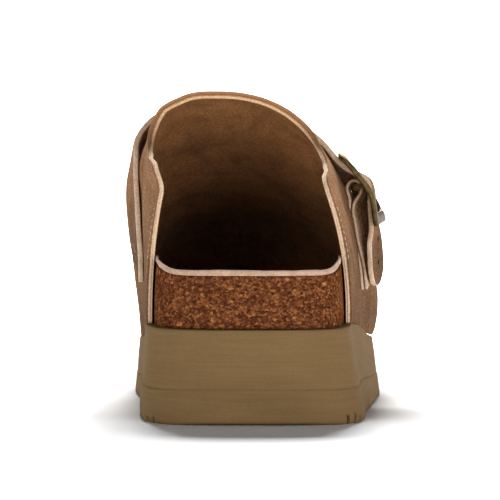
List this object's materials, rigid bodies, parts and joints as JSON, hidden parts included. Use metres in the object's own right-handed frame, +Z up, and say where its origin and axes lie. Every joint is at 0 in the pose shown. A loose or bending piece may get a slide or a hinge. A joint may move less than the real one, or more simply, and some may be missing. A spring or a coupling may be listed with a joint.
{
  "type": "suede clog",
  "caption": "Open-back right clog: hollow suede upper with a buckled instep strap, lined cork footbed and a platform sole.",
  "frame": {"origin": "middle of the overall box, on the floor under the sole", "axes": "+Y towards the toe, +X towards the outer (lateral) side, +Z up"},
  "size_m": [0.1029, 0.2561, 0.1193],
  "materials": {
    "sole_rubber": "matte khaki, fine grain",
    "cork": "stained cork, satin",
    "lining_suede": "pale suede",
    "upper_suede": "brown suede",
    "strap_suede": "brown suede with pale cut edges",
    "antique_brass": "antique, half gloss"
  },
  "bodies": {
    "root": {"sole": "sole_rubber", "footbed": "cork", "footbed_lining": "lining_suede", "upper": "upper_suede", "instep_strap": "strap_suede", "buckle_tab": "strap_suede", "buckle_frame": "antique_brass", "buckle_prong": "antique_brass"}
  },
  "joints": []
}
